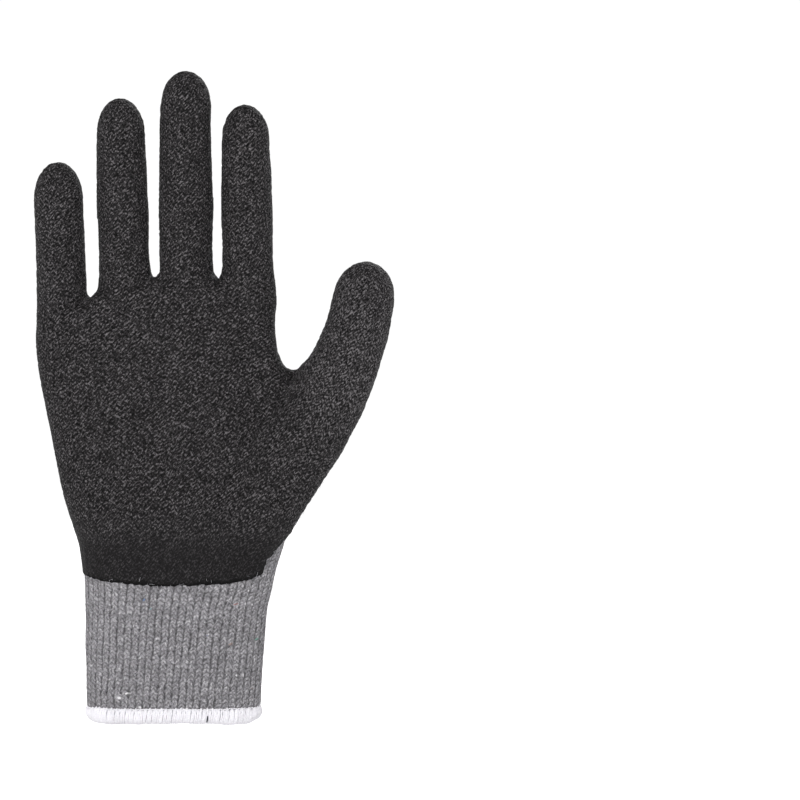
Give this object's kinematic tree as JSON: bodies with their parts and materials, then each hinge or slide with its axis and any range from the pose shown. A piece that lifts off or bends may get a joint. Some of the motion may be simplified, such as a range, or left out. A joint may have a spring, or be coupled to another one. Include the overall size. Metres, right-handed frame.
{
  "type": "latex coated grip glove",
  "caption": "Right-hand seamless knitted work glove with a crinkled latex layer over palm, finger fronts and fingertips, bare knitted back and rib cuff with an overlocked hem.",
  "frame": {"origin": "centre of the wrist opening, at the lower edge of the hem", "axes": "+Z from the wrist opening to the fingertips, -Y out of the coated palm, +X towards the thumb"},
  "size_m": [0.1384, 0.0422, 0.2502],
  "materials": {
    "knit": "melange grey cotton and polyester yarn, 10 gauge plain knit with a rib cuff",
    "latex": "black natural latex with a fine crinkled surface",
    "hem_thread": "white overlock thread"
  },
  "bodies": {
    "root": {"knit_liner": "knit", "latex_coating": "latex", "cuff_hem": "hem_thread"}
  },
  "joints": []
}
